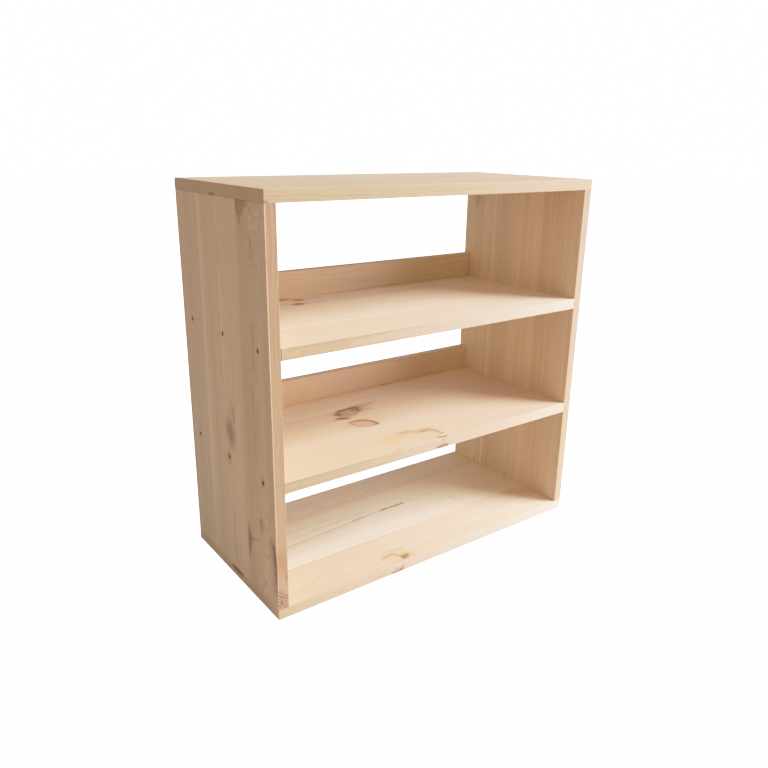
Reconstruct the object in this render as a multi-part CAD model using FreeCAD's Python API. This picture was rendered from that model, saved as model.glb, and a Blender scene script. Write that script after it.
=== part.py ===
import FreeCAD, Part
import os

V = FreeCAD.Vector
os.makedirs("parts", exist_ok=True)

# Open pine rack: two sides, a top board over them, a bottom board under them,
# two fixed shelves between them and a low rail at the back of each shelf.
# Frame: X to the right, Y to the back, Z up; the origin is the middle of the
# footprint, on the floor. All lengths are in millimetres.

# ---- driving dimensions ------------------------------------------------------
WIDTH = 640.0            # over the top and bottom boards
DEPTH = 300.0            # width of the glued panel that all boards are cut from
HEIGHT = 640.0           # floor to top face
BOARD_T = 18.0           # panel thickness

UPPER_SHELF_Z = 411.5    # underside of the upper shelf
LOWER_SHELF_Z = 209.5    # underside of the lower shelf
UPPER_SHELF_GAP = 0.7    # the upper shelf falls this far short of the left side

RAIL_H = 48.0            # height of the back rails above the shelf
RAIL_T = 18.0            # thickness of the back rails

EASE_OUT = 1.2           # sanded radius of the outer arrises
EASE_IN = 0.4            # sanded radius of the arrises that meet another board

SCREW_D = 4.0            # countersunk wood screw, shank over the thread
SCREW_L = 45.0           # overall length
HEAD_D = 7.4             # head diameter
HEAD_RIM = 0.4           # cylindrical rim of the head
SCREW_TIP = 6.0          # length of the point
SCREW_SET = 1.1          # how deep the head is set below the surface
DRIVE_L = 4.6            # length of the arms of the cross recess
DRIVE_W = 1.1            # width of the arms
DRIVE_DEPTH = 1.6        # depth of the recess
SCREW_Y = 115.0          # outer screws stand this far in front of and behind the middle
RAIL_SCREW_X = 215.0     # outer rail screws stand this far from the middle

# Glue lines of each panel: (front line at its first end, front line at its last
# end, back line at its first end, back line at its last end), as Y positions.
# The first end is the left one of a flat board and the lower one of a side.
GLUE = {
    "top_board": (-60.0, -61.5, 69.0, 70.5),
    "bottom_board": (-61.0, -62.0, 72.5, 72.0),
    "left_side": (-54.5, -64.5, 74.0, 66.0),
    "right_side": (-57.0, -60.0, 61.5, 63.5),
    "upper_shelf": (-63.0, -61.0, 68.5, 68.0),
    "lower_shelf": (-64.0, -65.0, 58.0, 57.5),
}

# turn of each screw's cross recess about its own axis, degrees, taken in order
TURNS = [12, 51, 77, 33, 4, 64, 85, 23, 47, 70, 8, 39, 58, 16, 81]

# ---- derived -----------------------------------------------------------------
XO = WIDTH / 2.0
XI = XO - BOARD_T
YO = DEPTH / 2.0
SIDE_Z0 = BOARD_T
SIDE_Z1 = HEIGHT - BOARD_T
UPPER_TOP = UPPER_SHELF_Z + BOARD_T
LOWER_TOP = LOWER_SHELF_Z + BOARD_T


# ---- helpers -----------------------------------------------------------------
def box(x0, x1, y0, y1, z0, z1):
    return Part.makeBox(x1 - x0, y1 - y0, z1 - z0, V(x0, y0, z0))


def edges_at(shape, picks):
    """Edges whose middle point matches one of the picks; None leaves an axis free."""
    out = []
    for e in shape.Edges:
        m = e.valueAt(0.5 * (e.FirstParameter + e.LastParameter))
        for p in picks:
            if all(w is None or abs(w - c) < 0.02 for w, c in zip(p, (m.x, m.y, m.z))):
                out.append(e)
                break
    return out


def ease(shape, radius, picks):
    chosen = edges_at(shape, picks)
    rounded = shape.makeFillet(radius, chosen)
    assert rounded.isValid() and len(rounded.Solids) == 1
    return rounded.Solids[0]


def staves(name, board, lines, upright):
    """Cut a panel along its two glue lines into front, middle and back staves."""
    f0, f1, b0, b1 = lines
    bb = board.BoundBox
    far = YO + 10.0
    lo, hi = (bb.ZMin, bb.ZMax) if upright else (bb.XMin, bb.XMax)
    reach = 10.0

    def at(v0, v1, s):
        return v0 + (v1 - v0) * (s - lo) / (hi - lo)

    s0, s1 = lo - reach, hi + reach
    bands = {
        "front": (-far, -far, at(f0, f1, s0), at(f0, f1, s1)),
        "middle": (at(f0, f1, s0), at(f0, f1, s1), at(b0, b1, s0), at(b0, b1, s1)),
        "back": (at(b0, b1, s0), at(b0, b1, s1), far, far),
    }
    out = {}
    for part, (a0, a1, c0, c1) in bands.items():
        if upright:
            x = bb.XMin - reach
            pts = [V(x, a0, s0), V(x, c0, s0), V(x, c1, s1), V(x, a1, s1)]
            way = V(bb.XLength + 2 * reach, 0, 0)
        else:
            z = bb.ZMin - reach
            pts = [V(s0, a0, z), V(s1, a1, z), V(s1, c1, z), V(s0, c0, z)]
            way = V(0, 0, bb.ZLength + 2 * reach)
        prism = Part.Face(Part.makePolygon(pts + pts[:1])).extrude(way)
        piece = board.common(prism)
        out["%s_%s_stave" % (name, part)] = piece
    return out


def turned(points):
    """Solid of revolution about Z from a closed (radius, height) outline."""
    pts = [V(r, 0, z) for r, z in points]
    face = Part.Face(Part.makePolygon(pts + pts[:1]))
    return face.revolve(V(0, 0, 0), V(0, 0, 1), 360.0)


def placed(shape, pos, way, turn):
    """Turn a shape made along +Z about its axis, then point it along way at pos."""
    s = shape.copy()
    s.rotate(V(0, 0, 0), V(0, 0, 1), turn)
    s.Placement = FreeCAD.Placement(pos, FreeCAD.Rotation(V(0, 0, 1), way)).multiply(s.Placement)
    return s


# ---- screw, head outwards at z = 0, running along +Z into the wood ------------
rh, rs = HEAD_D / 2.0, SCREW_D / 2.0
cone_end = HEAD_RIM + (rh - rs)
body = [
    (0.0, 0.0), (rh, 0.0), (rh, HEAD_RIM), (rs, cone_end),
    (rs, SCREW_L - SCREW_TIP), (0.0, SCREW_L),
]
SCREW_BODY = turned(body)
arm = box(-DRIVE_L / 2, DRIVE_L / 2, -DRIVE_W / 2, DRIVE_W / 2, -1.0, DRIVE_DEPTH)
arm2 = box(-DRIVE_W / 2, DRIVE_W / 2, -DRIVE_L / 2, DRIVE_L / 2, -1.0, DRIVE_DEPTH)
SCREW = SCREW_BODY.cut(arm.fuse(arm2))
# the hole: the screw's own outline and the round recess that its head is set into
HOLE = SCREW_BODY.fuse(Part.makeCylinder(rh, SCREW_SET + 2.0, V(0, 0, -SCREW_SET - 2.0)))
HOLE = HOLE.removeSplitter()

# ---- boards ------------------------------------------------------------------
N = None
top_board = box(-XO, XO, -YO, YO, SIDE_Z1, HEIGHT)
top_board = ease(top_board, EASE_OUT, [
    (N, -YO, HEIGHT), (N, YO, HEIGHT), (-XO, N, HEIGHT), (XO, N, HEIGHT),
    (-XO, -YO, N), (XO, -YO, N), (-XO, YO, N), (XO, YO, N)])
top_board = ease(top_board, EASE_IN, [(N, -YO, SIDE_Z1)])

bottom_board = box(-XO, XO, -YO, YO, 0.0, BOARD_T)
bottom_board = ease(bottom_board, EASE_OUT, [
    (-XO, -YO, N), (XO, -YO, N), (-XO, YO, N), (XO, YO, N)])
bottom_board = ease(bottom_board, EASE_IN, [(N, -YO, BOARD_T), (N, -YO, 0.0)])


def side(sign):
    xa, xb = sorted((sign * XI, sign * XO))
    s = box(xa, xb, -YO, YO, SIDE_Z0, SIDE_Z1)
    s = ease(s, EASE_OUT, [(sign * XO, -YO, N), (sign * XO, YO, N)])
    return ease(s, EASE_IN, [(sign * XI, -YO, N), (sign * XI, YO, N)])


left_side, right_side = side(-1), side(1)


def shelf(x0, z0):
    s = box(x0, XI, -YO, YO, z0, z0 + BOARD_T)
    return ease(s, 0.8, [(N, -YO, z0), (N, -YO, z0 + BOARD_T), (N, YO, z0)])


upper_shelf = shelf(-XI + UPPER_SHELF_GAP, UPPER_SHELF_Z)
lower_shelf = shelf(-XI, LOWER_SHELF_Z)


def rail(z0):
    r = box(-XI, XI, YO - RAIL_T, YO, z0, z0 + RAIL_H)
    return ease(r, EASE_OUT, [(N, YO - RAIL_T, z0 + RAIL_H), (N, YO, z0 + RAIL_H)])


nodes = {}
nodes.update(staves("top_board", top_board, GLUE["top_board"], False))
nodes.update(staves("bottom_board", bottom_board, GLUE["bottom_board"], False))
nodes.update(staves("left_side", left_side, GLUE["left_side"], True))
nodes.update(staves("right_side", right_side, GLUE["right_side"], True))
nodes.update(staves("upper_shelf", upper_shelf, GLUE["upper_shelf"], False))
nodes.update(staves("lower_shelf", lower_shelf, GLUE["lower_shelf"], False))
nodes["upper_back_rail"] = rail(UPPER_TOP)
nodes["lower_back_rail"] = rail(LOWER_TOP)

# ---- screws, in groups of three per joint --------------------------------------
mid_u = UPPER_SHELF_Z + BOARD_T / 2.0
mid_l = LOWER_SHELF_Z + BOARD_T / 2.0
side_mid = XO - BOARD_T / 2.0
groups = {}
for tag, z in (("upper", mid_u), ("lower", mid_l)):
    groups["%s_shelf_left_screws" % tag] = [
        (V(-XO + SCREW_SET, y, z), V(1, 0, 0)) for y in (-SCREW_Y, 0.0, SCREW_Y)]
    groups["%s_shelf_right_screws" % tag] = [
        (V(XO - SCREW_SET, y, z), V(-1, 0, 0)) for y in (-SCREW_Y, 0.0, SCREW_Y)]
for tag, x in (("left", -side_mid), ("right", side_mid)):
    groups["top_board_%s_screws" % tag] = [
        (V(x, y, HEIGHT - SCREW_SET), V(0, 0, -1)) for y in (-SCREW_Y, 0.0, SCREW_Y)]
    groups["bottom_board_%s_screws" % tag] = [
        (V(x, y, SCREW_SET), V(0, 0, 1)) for y in (-SCREW_Y, 0.0, SCREW_Y)]
for tag, z in (("upper", UPPER_SHELF_Z), ("lower", LOWER_SHELF_Z)):
    groups["%s_rail_screws" % tag] = [
        (V(x, YO - RAIL_T / 2.0, z + SCREW_SET), V(0, 0, 1))
        for x in (-RAIL_SCREW_X, 0.0, RAIL_SCREW_X)]

holes = []
count = 0
for name, spots in groups.items():
    solids = []
    for pos, way in spots:
        turn = TURNS[count % len(TURNS)]
        count += 1
        solids.append(placed(SCREW, pos, way, turn))
        holes.append(placed(HOLE, pos, way, turn))
    nodes[name] = Part.makeCompound(solids)

# ---- drill every board that a screw passes through -------------------------------
for name in list(nodes):
    if name.endswith("_screws"):
        continue
    piece = nodes[name]
    bb = piece.BoundBox
    for h in holes:
        if bb.intersect(h.BoundBox):
            if piece.common(h).Volume > 1e-6:
                piece = piece.cut(h)
    assert piece.isValid() and len(piece.Solids) == 1, name
    nodes[name] = piece.Solids[0]

for name, shape in nodes.items():
    shape.exportStep("parts/%s.step" % name)
    bb = shape.BoundBox
    print("%-28s solids %d  volume %9.1f  x %.1f..%.1f  y %.1f..%.1f  z %.1f..%.1f" % (
        name, len(shape.Solids), shape.Volume,
        bb.XMin, bb.XMax, bb.YMin, bb.YMax, bb.ZMin, bb.ZMax))
print(len(nodes), "nodes")
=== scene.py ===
import bpy
import bmesh
import math
import random
import zlib
from mathutils import Matrix, Vector, noise


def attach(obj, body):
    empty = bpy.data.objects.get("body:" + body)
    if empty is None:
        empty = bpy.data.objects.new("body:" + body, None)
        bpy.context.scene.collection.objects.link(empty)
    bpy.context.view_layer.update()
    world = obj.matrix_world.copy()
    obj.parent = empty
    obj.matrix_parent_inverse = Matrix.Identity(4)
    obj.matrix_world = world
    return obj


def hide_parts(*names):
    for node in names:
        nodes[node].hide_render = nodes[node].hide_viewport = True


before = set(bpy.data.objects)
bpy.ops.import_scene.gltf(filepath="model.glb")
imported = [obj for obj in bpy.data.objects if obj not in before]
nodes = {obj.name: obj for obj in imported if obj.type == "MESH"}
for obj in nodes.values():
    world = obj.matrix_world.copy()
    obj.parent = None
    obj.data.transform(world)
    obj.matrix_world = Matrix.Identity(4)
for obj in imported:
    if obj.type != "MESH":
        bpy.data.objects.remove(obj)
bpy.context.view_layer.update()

# An open pine rack. Every board is an edge-glued panel of three staves; each stave is
# built here as its own closed mesh in the place of its solid, with sanded arrises that
# vary along their length, small knocks on the free edges, dished knots and the recesses
# that the screw heads sit in. All lengths below are in millimetres until they are written
# to a mesh, in the part's own frame: X right, Y back, Z up.

MM = 0.001
XO, XI, YO, T, H = 320.0, 302.0, 150.0, 18.0, 640.0
U_SHELF, L_SHELF = 411.5, 209.5
SCREW_Y, RAIL_X, HEAD_R, SET = 115.0, 215.0, 3.7, 1.1


def seed_of(name):
    return zlib.crc32(name.encode()) & 0xFFFF


def smooth(a, b, x):
    t = min(max((x - a) / (b - a), 0.0), 1.0)
    return t * t * (3.0 - 2.0 * t)


# ---------------------------------------------------------------------------------------
# figure of every stave, placed along the grain (u), across it (v) and through it (w)
# ---------------------------------------------------------------------------------------
def knot(u, v, ru, rv, turn=0.0, look="brown", s=0.7, bulge=5.0, face=None, deep=40.0, taper=0.0, soft=0.35, heavy=(0.0, 0.0), rag=0.5, lens=False):
    """A branch cut by the face: middle, half length along the grain, half width, turn in
    degrees, look, strength, how far it pushes the growth rings aside, the face that it
    opens on and how deep it goes, how much wider its far end is, softness of the outline,
    the side that is darkest, raggedness and whether its ends are pointed. A look of None
    only bends the grain."""
    return {"u": u, "v": v, "ru": ru, "rv": rv, "turn": turn, "look": look, "s": s, "bulge": bulge, "face": face,
            "deep": deep, "taper": taper, "soft": soft, "heavy": heavy, "rag": rag, "lens": lens}


KNOTS = {
    "left_side_front_stave": [
        knot(618, -80, 27, 18, -11, "brown", 0.62, 8, "w0", 12, 0.75, 0.50, (0.35, 0.75), rag=0.8),
        knot(588, -115, 30, 19, 0, None, 0.0, 13, "w0", 14),
        knot(562, -107, 11, 5, 0, "brown", 0.20, 3, "w0", 8, soft=0.7),
        knot(95, -58, 25, 11, -5, "brown", 0.68, 7, "w0", 12, 0.30, 0.50, (0.2, 0.5), rag=0.8),
        knot(72, -100, 26, 22, 0, None, 0.0, 11, "w0", 14),
        knot(145, -105, 11, 5, 0, "brown", 0.45, 3, "w0", 8, soft=0.6),
        knot(92, -158, 34, 14, 0, None, 0.0, 9, None, 40),
        knot(219, -115, 9, 7, 0, "brown", 0.26, 0, "w0", 8, soft=0.9),
    ],
    "left_side_middle_stave": [
        knot(264, -9, 23, 13.5, 20, "bark", 0.58, 11, "w0", 14, soft=0.70, heavy=(-0.5, -0.3), rag=0.7),
        knot(300, -22, 16, 5.5, 12, "bark", 0.32, 4, "w0", 14, soft=0.8),
        knot(218, 0, 9, 7, 0, "brown", 0.34, 0, "w0", 8, soft=0.9),
    ],
    "bottom_board_front_stave": [
        knot(-67, -138, 10, 6, 30, "dark", 0.70, 4, "w1", 8, soft=0.60, heavy=(0.5, -0.3), rag=0.9),
    ],
    "bottom_board_middle_stave": [
        knot(144, -25, 9, 7, 0, None, 0.0, 5, "w1", 10),
        knot(-322, -8, 8, 18, 0, "dark", 0.74, 3, "w1", 11, soft=0.6, rag=0.9),
    ],
    "bottom_board_back_stave": [
        knot(-205, 104, 14, 9, 10, "brown", 0.45, 5, "w0", 14, soft=0.5),
        knot(238, 120, 12, 8, -8, "red", 0.5, 5, "w0", 14, soft=0.4),
    ],
    "lower_shelf_middle_stave": [
        knot(-66, 41, 25, 18, 22, "grey", 0.80, 9, "w1", 14, soft=0.40, heavy=(0.25, 0.75), rag=0.5),
        knot(-92, 18.5, 13, 5.0, -24, "dark", 0.84, 2, "w1", 10, soft=0.6, rag=0.9),
        knot(-91, 40, 6, 5, 0, "dark", 0.62, 0, "w1", 8, soft=0.7),
        knot(-44, 46, 12, 8, 20, "dark", 0.40, 0, "w1", 10, soft=0.9),
        knot(-74, -20, 28, 16.5, -36, "pink", 0.86, 8, "w1", 14, soft=0.22, heavy=(0.30, 0.70), rag=0.16, lens=True),
    ],
    "lower_shelf_front_stave": [
        knot(4, -122, 10, 7, -70, None, 0.0, 4, "w1", 8),
    ],
    "upper_shelf_back_stave": [
        knot(-127, 111, 9, 8, 0, "dark", 0.52, 4, "w1", 14, soft=0.6, rag=0.8),
        knot(-142, 81, 9, 8, 15, "dark", 0.66, 4, "w1", 14, soft=0.55, rag=0.8),
        knot(-160, 126, 22, 7, 0, "brown", 0.62, 3, "w1", 12, soft=0.7, rag=0.8),
    ],
    "upper_shelf_middle_stave": [
        knot(150, 20, 16, 11, 6, "red", 0.55, 7, "w0", 14, soft=0.35),
    ],
    "right_side_middle_stave": [
        knot(24, -9, 5, 3, 0, "brown", 0.32, 3, "w0", 8, soft=0.7),
        knot(330, 8, 24, 14, 5, "red", 0.88, 12, "w1", 14, soft=0.28, heavy=(0.6, 0.5), rag=0.7),
        knot(318, 14, 9, 5, 30, "dark", 0.60, 0, "w1", 10, soft=0.7, rag=0.9),
    ],
    "right_side_back_stave": [
        knot(23, 85, 5, 3, 0, "brown", 0.34, 3, "w0", 8, soft=0.7),
        knot(470, 104, 20, 12, -6, "brown", 0.86, 10, "w1", 14, soft=0.4, heavy=(-0.5, 0.5), rag=0.8),
        knot(600, 118, 22, 7, 0, "dark", 0.22, 4, "w0", 8, soft=0.8),
    ],
    "right_side_front_stave": [
        knot(142, -104, 16, 9, 6, "dark", 0.80, 9, "w1", 14, soft=0.4, heavy=(0.5, -0.4), rag=0.8),
    ],
    "top_board_middle_stave": [
        knot(-322, 10, 7, 8, 0, "dark", 0.75, 3, "w0", 5.5, soft=0.5),
        knot(118, 22, 15, 9, 8, "red", 0.40, 6, "w1", 14, soft=0.4),
    ],
    "top_board_back_stave": [
        knot(-150, 104, 12, 8, 0, "brown", 0.40, 5, "w1", 14, soft=0.5),
    ],
}

# streak: a line of points (u, v), half width, strength, colour, face
STREAKS = {
    "left_side_front_stave": [
        ([(103, -64), (107, -76), (113, -93)], 2.2, 0.30, "brown", "w0"),
        ([(128, -137), (108, -142), (88, -145), (50, -148)], 9.0, 0.50, "rust", "w0"),
        ([(124, -141), (106, -145), (88, -147.5), (66, -149)], 4.0, 0.66, "red", "w0"),
        ([(611, -134), (604, -121), (600, -104)], 2.8, 0.17, "pale", "w0"),
        ([(599, -140), (591, -122), (588, -106)], 3.2, 0.18, "pale", "w0"),
        ([(587, -142), (578, -126), (576, -110)], 2.6, 0.15, "pale", "w0"),
        ([(605, -130), (598, -113)], 2.0, 0.15, "brown", "w0"),
        ([(64, -96), (57, -112), (55, -128)], 3.0, 0.20, "pale", "w0"),
        ([(52, -86), (45, -106), (43, -126)], 3.4, 0.22, "pale", "w0"),
        ([(40, -94), (33, -112), (32, -130)], 2.8, 0.20, "pale", "w0"),
        ([(58, -92), (50, -112)], 2.0, 0.18, "brown", "w0"),
        ([(452, -101), (425, -102), (392, -101)], 4.4, 0.22, "brown", "w0"),
        ([(372, -95.5), (300, -94.5), (248, -96)], 1.6, 0.32, "brown", "w0"),
        ([(342, -106), (262, -107)], 1.3, 0.28, "brown", "w0"),
    ],
    "left_side_back_stave": [
        ([(421, 113), (424, 96), (427.5, 78)], 0.9, 0.24, "brown", "w0"),
    ],
    "left_side_middle_stave": [
        ([(416, 2), (417, 18)], 1.0, 0.22, "dark", "w0"),
    ],
    "bottom_board_middle_stave": [
        ([(-245, -1), (-180, 3.5), (-110, 9.5), (-45, 14.5)], 1.5, 0.50, "brown", "w1"),
        ([(-75, 14.2), (-30, 16.2), (0, 17)], 1.5, 0.60, "brown", "w1"),
        ([(-6, 16.8), (20, 17.3), (46, 17.6)], 2.1, 0.76, "dark", "w1"),
        ([(40, 17.6), (85, 18.6), (126, 20.5)], 1.1, 0.34, "brown", "w1"),
        ([(-245, -9), (-190, -5), (-120, 1), (-60, 6)], 4.2, 0.15, "brown", "w1"),
        ([(-300, 14), (-220, 19), (-130, 26), (-40, 31)], 5.0, 0.14, "brown", "w1"),
        ([(-300, 38), (-200, 43), (-110, 47)], 4.6, 0.11, "brown", "w1"),
        ([(-230, -21), (-160, -17), (-90, -14)], 4.2, 0.10, "brown", "w1"),
        ([(140, -14), (153, -18.5)], 1.3, 0.42, "brown", "w1"),
        ([(142, -30.5), (149, -31)], 1.7, 0.30, "brown", "w1"),
    ],
    "bottom_board_front_stave": [
        # painted shadow: darker and yellower at the right of the front stave, in the shade
        ([(256, -66), (284, -80), (304, -98)], 15.0, 0.30, "olive", "w1"),
        ([(-98, -124), (-80, -124), (-64, -132), (-58, -138)], 12.0, 0.62, "amber", "w1"),
        ([(-102, -123), (-94, -121), (-86, -121.2), (-79, -125), (-72.5, -135)], 2.4, 0.66, "brown", "w1"),
        ([(-71, -139.5), (-64, -136.5)], 4.6, 0.66, "dark", "w1"),
        ([(-81, -115), (-70, -113.5), (-56, -115.5)], 2.4, 0.36, "russet", "w1"),
        ([(-96, -143), (-86, -146), (-80, -149)], 1.6, 0.40, "brown", "w1"),
        ([(-150, -147), (-118, -143)], 1.5, 0.25, "brown", "w1"),
    ],
    "lower_shelf_front_stave": [
        ([(-88, -109), (-75, -105), (-51, -98), (-22, -108), (2, -110)], 13.0, 0.80, "amber", "w1"),
        ([(-94, -112), (-78, -106)], 6.0, 0.36, "amber", "w1"),
        ([(-55, -95.5), (-42, -93.2), (-32, -94.6), (-22, -104), (-9, -106), (4, -107.5), (8, -116)], 7.5, 0.60, "blush", "w1"),
        ([(-50, -95), (-32, -94.8), (-22, -104.6), (-8, -106)], 3.4, 0.50, "russet", "w1"),
        ([(-12, -106), (4, -107.8), (8, -116), (10.4, -123.7)], 4.2, 0.70, "russet", "w1"),
        ([(6, -131.5), (13, -133)], 2.2, 0.78, "umber", "w1"),
        ([(-6, -143.6), (7.5, -146)], 2.4, 0.80, "umber", "w1"),
        ([(-12, -140), (-4, -141)], 1.6, 0.35, "brown", "w1"),
        ([(-92, -146), (-87, -149)], 2.0, 0.50, "brown", "w1"),
        ([(4, -110), (24, -110), (46, -104)], 3.0, 0.20, "amber", "w1"),
        ([(-290, -131), (-230, -127), (-150, -130)], 5.0, 0.16, "amber", "w1"),
    ],
    "lower_shelf_middle_stave": [
        ([(-76, 54.0), (-58, 55.6), (-38, 55.8)], 2.6, 0.60, "dark", "w1"),
        ([(-38, 55.8), (-20, 56.4), (-6, 57.0)], 2.0, 0.36, "brown", "w1"),
        ([(-58, -34), (-52, -38)], 1.8, 0.62, "umber", "w1"),
        ([(-36, 50), (-22, 52), (-6, 54)], 5.0, 0.30, "brown", "w1"),
        ([(-50, 35), (-36, 34), (-20, 36)], 3.6, 0.30, "brown", "w1"),
        ([(-170, 20), (-140, 12), (-110, 20)], 7.0, 0.10, "russet", "w1"),
    ],
    "lower_shelf_back_stave": [
        ([(-54, 58.5), (-30, 61.2), (6, 61.4)], 3.2, 0.42, "brown", "w1"),
        # darker along the foot of the rail
        ([(-150, 131), (0, 131.2), (240, 131)], 1.6, 0.34, "brown", "w1"),
        ([(70, 131), (96, 131)], 1.8, 0.45, "dark", "w1"),
    ],
    "upper_shelf_back_stave": [
        ([(-118, 110), (-98, 112), (-80, 113)], 2.6, 0.30, "brown", "w1"),
        ([(-172, 96), (-150, 84), (-120, 80), (-96, 84)], 3.0, 0.26, "brown", "w1"),
        # darker along the foot of the rail
        ([(8, 130), (60, 131), (113, 130.5)], 2.4, 0.36, "brown", "w1"),
        ([(-60, 131.2), (8, 131)], 1.4, 0.20, "brown", "w1"),
    ],
}

# marks on the front edge of a stave: a line of points (u, w), half width, strength, colour
EDGE_MARKS = {
    "bottom_board_front_stave": [
        ([(-102, 1.5), (-92, 3.0), (-82, 4.0)], 3.0, 0.72, "red"),
        ([(-86, 4.0), (-79, 8.5)], 2.6, 0.66, "brown"),
        ([(-97, 9.6), (-88, 8.0)], 1.2, 0.40, "brown"),
        ([(-142, 8), (-118, 6)], 1.6, 0.28, "brown"),
    ],
    "lower_shelf_front_stave": [
        ([(-13, 212.4), (-2, 213.4), (8, 213.6)], 2.7, 0.80, "dark"),
        ([(-3, 226), (2, 221)], 1.8, 0.45, "brown"),
        ([(-300, 214), (-200, 215), (-110, 213)], 1.6, 0.22, "brown"),
        ([(-301, 225.4), (-220, 225.2), (-150, 225.6)], 1.6, 0.40, "brown"),
        ([(-150, 225.6), (-90, 226.0)], 1.3, 0.20, "brown"),
        ([(-280, 220), (-200, 221), (-150, 220)], 1.2, 0.20, "brown"),
    ],
    "upper_shelf_front_stave": [
        ([(-288, 427.4), (-200, 427.6), (-110, 427.7)], 1.4, 0.42, "brown"),
        ([(-110, 427.7), (-40, 427.9)], 1.3, 0.20, "brown"),
        ([(-296, 424.0), (-230, 424.4), (-150, 425)], 0.9, 0.26, "brown"),
        ([(-270, 419), (-225, 420), (-190, 419)], 3.2, 0.34, "orange"),
        ([(-298, 414), (-220, 413.5), (-100, 414)], 1.5, 0.24, "brown"),
        ([(-60, 420), (60, 419), (180, 421)], 1.0, 0.16, "brown"),
    ],
    "top_board_front_stave": [
        ([(-319, 623.5), (-316, 624.0)], 2.2, 0.60, "dark"),
    ],
    "left_side_front_stave": [
        ([(106, -311), (82, -311)], 11.0, 0.84, "orange"),
        ([(111, -317), (106, -313)], 3.0, 0.42, "russet"),
        ([(84, -318), (70, -313), (60, -308)], 7.0, 0.55, "rose"),
        ([(112, -304), (60, -304)], 2.2, 0.42, "rust"),
        ([(72, -305), (67, -305.4)], 1.5, 0.60, "dark"),
        ([(40, -305), (36, -304)], 2.6, 0.60, "dark"),
        ([(205, -306), (260, -307), (330, -306)], 1.4, 0.22, "brown"),
    ],
}
# the same on the back of a board: painted shade in the joint under each rail
BACK_JOINT_SHADE = {
    "upper_back_rail": [([(-301, 429.8), (301, 429.8)], 0.9, 0.62, "brown")],
    "lower_back_rail": [([(-301, 227.8), (301, 227.8)], 0.9, 0.62, "brown")],
}
# a curl of rings at the corner of a front edge: u, w, ring spacing, reach, strength
EDGE_CURLS = {"left_side_front_stave": (14.0, -322.0, 5.4, 45.0, 0.92)}

# band: v at the first end, v at the last end, half width, brightness gain (below 0 darkens)
BANDS = {
    "left_side_back_stave": [(76, 67, 3.5, 0.09), (118, 112, 12, -0.03)],
    "left_side_middle_stave": [(71, 62, 4.5, 0.12), (5, 0, 2.6, 0.06), (40, 36, 12, -0.03), (-40, -46, 9, 0.03)],
    "left_side_front_stave": [(-72, -82, 14, -0.03), (-118, -128, 8, 0.03)],
    "right_side_back_stave": [(66, 66, 4.0, 0.06), (104, 104, 5.0, -0.05)],
    "right_side_middle_stave": [(52, 52, 3.0, 0.05), (-8, -8, 3.0, 0.06), (-30, -30, 4.0, 0.04)],
    "upper_shelf_back_stave": [(126, 126, 38, 0.08)],
    "lower_shelf_back_stave": [(126, 126, 40, 0.11)],
    "lower_shelf_middle_stave": [(52, 52, 8, 0.03)],
}


# ---------------------------------------------------------------------------------------
# boards
# ---------------------------------------------------------------------------------------
BOARDS = {
    # name: kind, u range, w range, glue lines, arris radii (front w0, front w1, back w0,
    # back w1, ends). kind "flat": u = X, v = Y, w = Z. kind "upright": u = Z, v = Y, w = X.
    "top_board": ("flat", (-XO, XO), (H - T, H), (-60.0, -61.5, 69.0, 70.5), (0.4, 1.2, 0.4, 1.2, 0.8)),
    "bottom_board": ("flat", (-XO, XO), (0.0, T), (-61.0, -62.0, 72.5, 72.0), (0.5, 0.5, 0.5, 0.5, 0.6)),
    "left_side": ("upright", (T, H - T), (-XO, -XI), (-54.5, -64.5, 74.0, 66.0), (1.0, 0.4, 1.2, 0.4, 0.12)),
    "right_side": ("upright", (T, H - T), (XI, XO), (-57.0, -60.0, 61.5, 63.5), (0.4, 1.2, 0.4, 1.2, 0.12)),
    "upper_shelf": ("flat", (-XI + 0.7, XI), (U_SHELF, U_SHELF + T), (-63.0, -61.0, 68.5, 68.0), (0.8, 0.5, 0.8, 0.5, 0.1)),
    "lower_shelf": ("flat", (-XI, XI), (L_SHELF, L_SHELF + T), (-64.0, -65.0, 58.0, 57.5), (0.8, 0.5, 0.8, 0.5, 0.1)),
}
GLUE_R = 0.12
HOLES = {
    "top_board": ("w1", [(s * (XO - T / 2), y) for s in (-1, 1) for y in (-SCREW_Y, 0.0, SCREW_Y)]),
    "bottom_board": ("w0", [(s * (XO - T / 2), y) for s in (-1, 1) for y in (-SCREW_Y, 0.0, SCREW_Y)]),
    "left_side": ("w0", [(z + T / 2, y) for z in (U_SHELF, L_SHELF) for y in (-SCREW_Y, 0.0, SCREW_Y)]),
    "right_side": ("w1", [(z + T / 2, y) for z in (U_SHELF, L_SHELF) for y in (-SCREW_Y, 0.0, SCREW_Y)]),
    "upper_shelf": ("w0", [(x, YO - T / 2) for x in (-RAIL_X, 0.0, RAIL_X)]),
    "lower_shelf": ("w0", [(x, YO - T / 2) for x in (-RAIL_X, 0.0, RAIL_X)]),
}


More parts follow.
